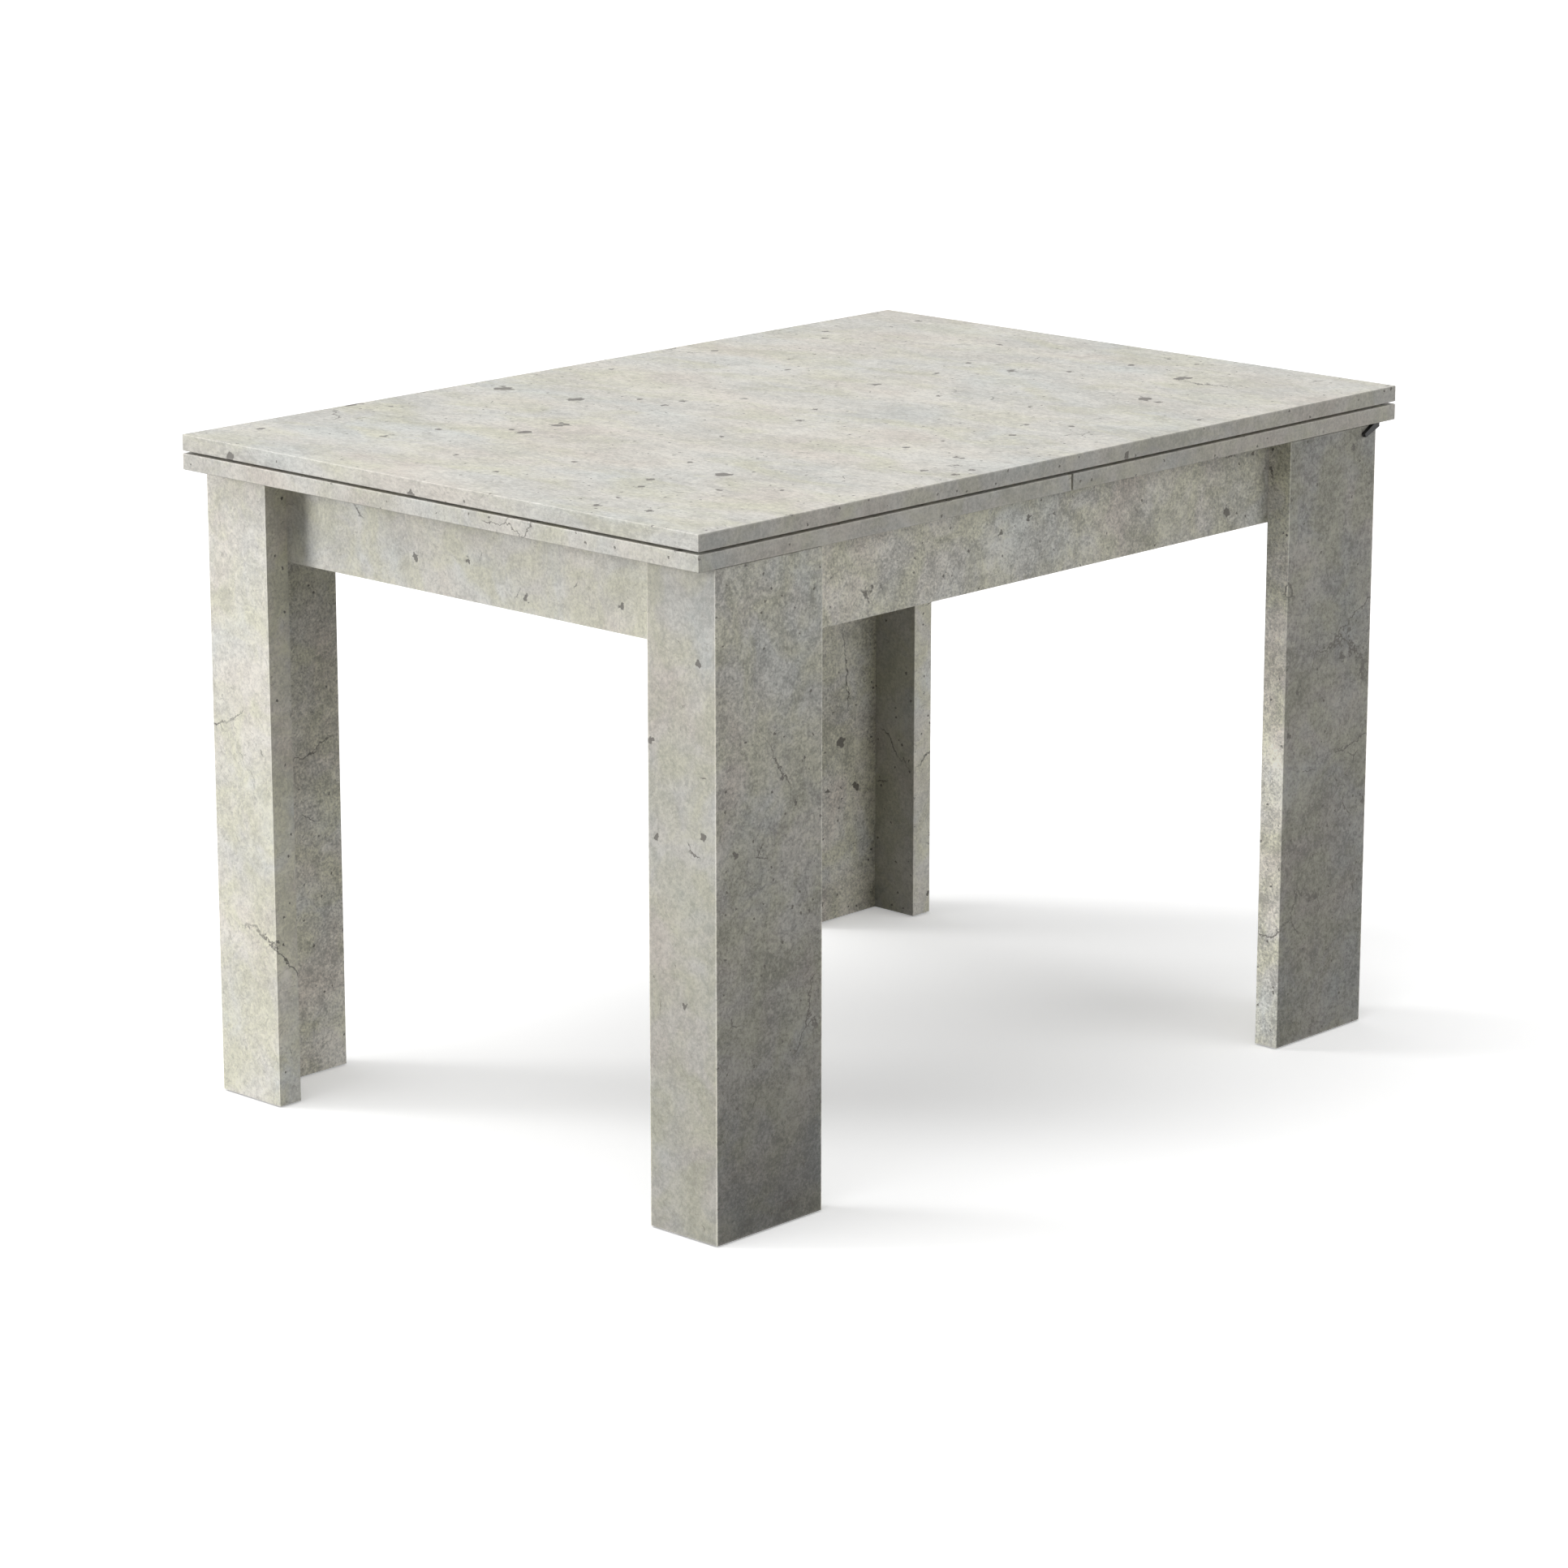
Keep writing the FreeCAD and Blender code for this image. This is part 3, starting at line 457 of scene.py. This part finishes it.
def plain_melamine():
    """Plain light-grey melamine: even colour, fine orange-peel and a low sheen."""
    material, tree, shader, place = new_material("plain_grey_melamine")
    tone = add(tree, "ShaderNodeTexNoise", {"Vector": place, "Scale": per_metre(80), "Detail": 5})
    ramp = set_stops(add(tree, "ShaderNodeValToRGB", {"Fac": tone.outputs["Fac"]}),
                     [(0.35, colour("#b9b7b0")), (0.65, colour("#c9c6bf"))])
    link(tree, ramp.outputs["Color"], shader, "Base Color")
    peel = add(tree, "ShaderNodeTexNoise", {"Vector": place, "Scale": per_metre(1.5),
                                            "Detail": 2})
    rough = add(tree, "ShaderNodeMapRange", {"Value": peel.outputs["Fac"], "To Min": 0.40,
                                             "To Max": 0.52})
    link(tree, rough.outputs["Result"], shader, "Roughness")
    bump = add(tree, "ShaderNodeBump", {"Height": peel.outputs["Fac"], "Strength": 0.25,
                                        "Distance": 0.1 * MM})
    link(tree, bump.outputs["Normal"], shader, "Normal")
    return material


def drawn_metal(name, dark, light, roughness, grain_mm, stretch):
    """Make a rolled or turned metal: faint tarnish, and a grain drawn out by the given stretch."""
    material, tree, shader, place = new_material(name)
    tone = add(tree, "ShaderNodeTexNoise", {"Vector": place, "Scale": per_metre(14), "Detail": 6,
                                            "Roughness": 0.65})
    ramp = set_stops(add(tree, "ShaderNodeValToRGB", {"Fac": tone.outputs["Fac"]}),
                     [(0.32, colour(dark)), (0.68, colour(light))])
    link(tree, ramp.outputs["Color"], shader, "Base Color")
    shader.inputs["Metallic"].default_value = 1.0
    along = add(tree, "ShaderNodeMapping", {"Vector": place, "Scale": stretch})
    lines = add(tree, "ShaderNodeTexNoise", {"Vector": along.outputs["Vector"],
                                             "Scale": per_metre(grain_mm), "Detail": 4})
    rough = add(tree, "ShaderNodeMapRange", {"Value": lines.outputs["Fac"], "From Min": 0.3,
                                             "From Max": 0.7, "To Min": roughness - 0.07,
                                             "To Max": roughness + 0.09})
    link(tree, rough.outputs["Result"], shader, "Roughness")
    bump = add(tree, "ShaderNodeBump", {"Height": lines.outputs["Fac"], "Strength": 0.2,
                                        "Distance": 0.05 * MM})
    link(tree, bump.outputs["Normal"], shader, "Normal")
    return material


def beech():
    """Turned beech: pinkish brown with fine rays and grain along the dowel."""
    material, tree, shader, place = new_material("turned_beech")
    along = add(tree, "ShaderNodeMapping", {"Vector": place, "Scale": ALONG_DOWELS})
    grain = add(tree, "ShaderNodeTexNoise", {"Vector": along.outputs["Vector"],
                                             "Scale": per_metre(1.2), "Detail": 6,
                                             "Distortion": 0.4})
    ramp = set_stops(add(tree, "ShaderNodeValToRGB", {"Fac": grain.outputs["Fac"]}),
                     [(0.3, colour("#a9794f")), (0.7, colour("#cda377"))])
    link(tree, ramp.outputs["Color"], shader, "Base Color")
    rough = add(tree, "ShaderNodeMapRange", {"Value": grain.outputs["Fac"], "To Min": 0.5,
                                             "To Max": 0.65})
    link(tree, rough.outputs["Result"], shader, "Roughness")
    bump = add(tree, "ShaderNodeBump", {"Height": grain.outputs["Fac"], "Strength": 0.3,
                                        "Distance": 0.1 * MM})
    link(tree, bump.outputs["Normal"], shader, "Normal")
    return material


def pressed_felt():
    """Pressed grey wool felt: mixed fibres, no sheen and a fuzzy relief."""
    material, tree, shader, place = new_material("pressed_felt")
    fibres = add(tree, "ShaderNodeTexNoise", {"Vector": place, "Scale": per_metre(0.9),
                                              "Detail": 6, "Roughness": 0.8, "Distortion": 3.0})
    ramp = set_stops(add(tree, "ShaderNodeValToRGB", {"Fac": fibres.outputs["Fac"]}),
                     [(0.3, colour("#3f3f3f")), (0.7, colour("#6d6c69"))])
    link(tree, ramp.outputs["Color"], shader, "Base Color")
    rough = add(tree, "ShaderNodeMapRange", {"Value": fibres.outputs["Fac"], "To Min": 0.85,
                                             "To Max": 1.0})
    link(tree, rough.outputs["Result"], shader, "Roughness")
    bump = add(tree, "ShaderNodeBump", {"Height": fibres.outputs["Fac"], "Strength": 0.6,
                                        "Distance": 0.4 * MM})
    link(tree, bump.outputs["Normal"], shader, "Normal")
    return material


def moulded_plastic(name, dark, light, roughness, grain_mm, depth_mm):
    """Make a moulded plastic: near-even colour with the spark-eroded grain of its mould."""
    material, tree, shader, place = new_material(name)
    tone = add(tree, "ShaderNodeTexNoise", {"Vector": place, "Scale": per_metre(25), "Detail": 4})
    ramp = set_stops(add(tree, "ShaderNodeValToRGB", {"Fac": tone.outputs["Fac"]}),
                     [(0.35, colour(dark)), (0.65, colour(light))])
    link(tree, ramp.outputs["Color"], shader, "Base Color")
    grain = add(tree, "ShaderNodeTexVoronoi", {"Vector": place, "Scale": per_metre(grain_mm)})
    rough = add(tree, "ShaderNodeMapRange", {"Value": grain.outputs["Distance"],
                                             "To Min": roughness - 0.06,
                                             "To Max": roughness + 0.08})
    link(tree, rough.outputs["Result"], shader, "Roughness")
    bump = add(tree, "ShaderNodeBump", {"Height": grain.outputs["Distance"], "Strength": 0.35,
                                        "Distance": depth_mm * MM})
    link(tree, bump.outputs["Normal"], shader, "Normal")
    return material


def soften(piece):
    """Round a board's arrises, after joining the mesh's loose triangles."""
    weld = piece.modifiers.new("joined", "WELD")
    weld.merge_threshold = WELD_WITHIN_MM * MM
    bevel = piece.modifiers.new("arris", "BEVEL")
    bevel.width = ARRIS_MM * MM
    bevel.segments = ARRIS_SEGMENTS
    bevel.limit_method = "ANGLE"
    bevel.angle_limit = ARRIS_ANGLE
    bevel.harden_normals = True


def dress():
    """Give every piece of the table its finish."""
    by_slot = {
        "plain_white_board": plain_melamine(),
        "beech": beech(),
        # Cold-rolled and zinc-plated: a cool soft sheen, with lines along the runners
        "zinc_plated_steel": drawn_metal("zinc_plated_steel", "#8e9092", "#b4b5b4",
                                         roughness=0.36, grain_mm=0.8, stretch=ALONG_RUNNERS),
        # Turned and zinc-plated: brighter and smoother, with lines no one way
        "bright_steel": drawn_metal("zinc_plated_screw_steel", "#9a9a98", "#c0c0bd",
                                    roughness=0.30, grain_mm=0.5, stretch=EVENLY),
        # Turned brass: warm, with the same fine lines
        "brass": drawn_metal("turned_brass", "#a88a4c", "#c9ac6c",
                             roughness=0.32, grain_mm=0.5, stretch=EVENLY),
        "grey_felt": pressed_felt(),
        # Natural nylon: off-white and waxy, from a smooth mould
        "nylon": moulded_plastic("moulded_nylon", "#d2cfc6", "#e0ddd5",
                                 roughness=0.48, grain_mm=0.8, depth_mm=0.05),
        # Black plastic: matt, from a mould with a clearer grain
        "black_plastic": moulded_plastic("moulded_black_plastic", "#121212", "#1c1c1c",
                                         roughness=0.46, grain_mm=0.7, depth_mm=0.08),
    }
    slots = {part["node"]: part["material_slot"] for part in frame["record"]["subparts"]}
    for name, piece in frame["nodes"].items():
        if name.endswith(BOARD_ENDS):
            stretch = ACROSS_TOP if name == "top_panel" else EVENLY
            piece.material_slots[0].material = concrete_melamine(name, stretch)
            if name.endswith(("_apron", "_board")):
                soften(piece)
        else:
            piece.material_slots[0].material = by_slot[slots[name]]


def white_to_camera(tree):
    """Give 1 for the rays that see the background itself, and 0 for those that carry light."""
    path = add(tree, "ShaderNodeLightPath")
    seen = add(tree, "ShaderNodeMath", {0: path.outputs["Is Camera Ray"],
                                        1: path.outputs["Is Glossy Ray"]}, operation="MAXIMUM")
    return add(tree, "ShaderNodeMath", {0: seen.outputs["Value"],
                                        1: path.outputs["Is Transmission Ray"]},
               operation="MAXIMUM").outputs["Value"]


def make_floor():
    """Lay a plain pale floor that stays white to the eye but throws little light back up."""
    bpy.ops.mesh.primitive_plane_add(size=FLOOR_REACH, location=(0, 0, CAD_BOX[0].z))
    floor = bpy.context.object
    floor.name = "floor"
    material = bpy.data.materials.new("pale_floor")
    material.use_nodes = True
    tree = material.node_tree
    tree.nodes.clear()
    seen = white_to_camera(tree)
    tone = add(tree, "ShaderNodeMix", {"Factor": seen, "A": colour("#6e6e6c"),
                                       "B": colour("#fdfdfd")}, data_type="RGBA")
    paint = add(tree, "ShaderNodeBsdfDiffuse", {"Color": tone.outputs["Result"]})
    glow_level = add(tree, "ShaderNodeMath", {0: seen, 1: FLOOR_GLOW}, operation="MULTIPLY")
    glow = add(tree, "ShaderNodeEmission", {"Strength": glow_level.outputs["Value"]})
    both = add(tree, "ShaderNodeAddShader", {0: paint.outputs["BSDF"],
                                             1: glow.outputs["Emission"]})
    add(tree, "ShaderNodeOutputMaterial", {"Surface": both.outputs["Shader"]})
    floor.data.materials.append(material)


def make_world():
    """Fill the room with soft even light, and show white where nothing stands."""
    world = bpy.data.worlds.new("studio")
    world.use_nodes = True
    tree = world.node_tree
    tree.nodes.clear()
    seen = white_to_camera(tree)
    strength = add(tree, "ShaderNodeMapRange", {"Value": seen, "To Min": WORLD_LEVEL,
                                                "To Max": 1.0})
    sky = add(tree, "ShaderNodeBackground", {"Color": colour("#ffffff"),
                                             "Strength": strength.outputs["Result"]})
    add(tree, "ShaderNodeOutputWorld", {"Surface": sky.outputs["Background"]})
    bpy.context.scene.world = world


def make_sun(name, level, direction, softness):
    """Make even light from one direction that adds a level to the faces turned to it."""
    data = bpy.data.lights.new(name, "SUN")
    data.energy = level * math.pi
    data.angle = softness
    lamp = bpy.data.objects.new(name, data)
    lamp.rotation_euler = direction.to_track_quat("Z", "Y").to_euler()
    bpy.context.collection.objects.link(lamp)


def make_lamps():
    """Light the table from above, from behind its left-hand end and from the front."""
    make_sun("key", KEY_LEVEL, KEY_FROM, KEY_SOFTNESS)
    make_sun("side", SIDE_LEVEL, SIDE_FROM, SIDE_SOFTNESS)
    make_sun("front", FRONT_LEVEL, FRONT_FROM, FRONT_SOFTNESS)


def make_camera():
    """Set the camera up with a long lens, looking down on the front left-hand corner."""
    data = bpy.data.cameras.new("camera")
    data.lens = CAMERA_LENS
    data.clip_end = FLOOR_REACH * 2
    camera = bpy.data.objects.new("camera", data)
    forward = Vector((math.sin(CAMERA_TURN) * math.cos(CAMERA_TIP),
                      math.cos(CAMERA_TURN) * math.cos(CAMERA_TIP), -math.sin(CAMERA_TIP)))
    middle = (CAD_BOX[0] + CAD_BOX[1]) / 2
    camera.location = middle + CAMERA_AIM - forward * CAMERA_DISTANCE
    camera.rotation_euler = forward.to_track_quat("-Z", "Y").to_euler()
    bpy.context.collection.objects.link(camera)
    bpy.context.scene.camera = camera


make_camera()
make_world()
make_lamps()
make_floor()
dress()
bpy.context.scene.view_settings.view_transform = "Standard"
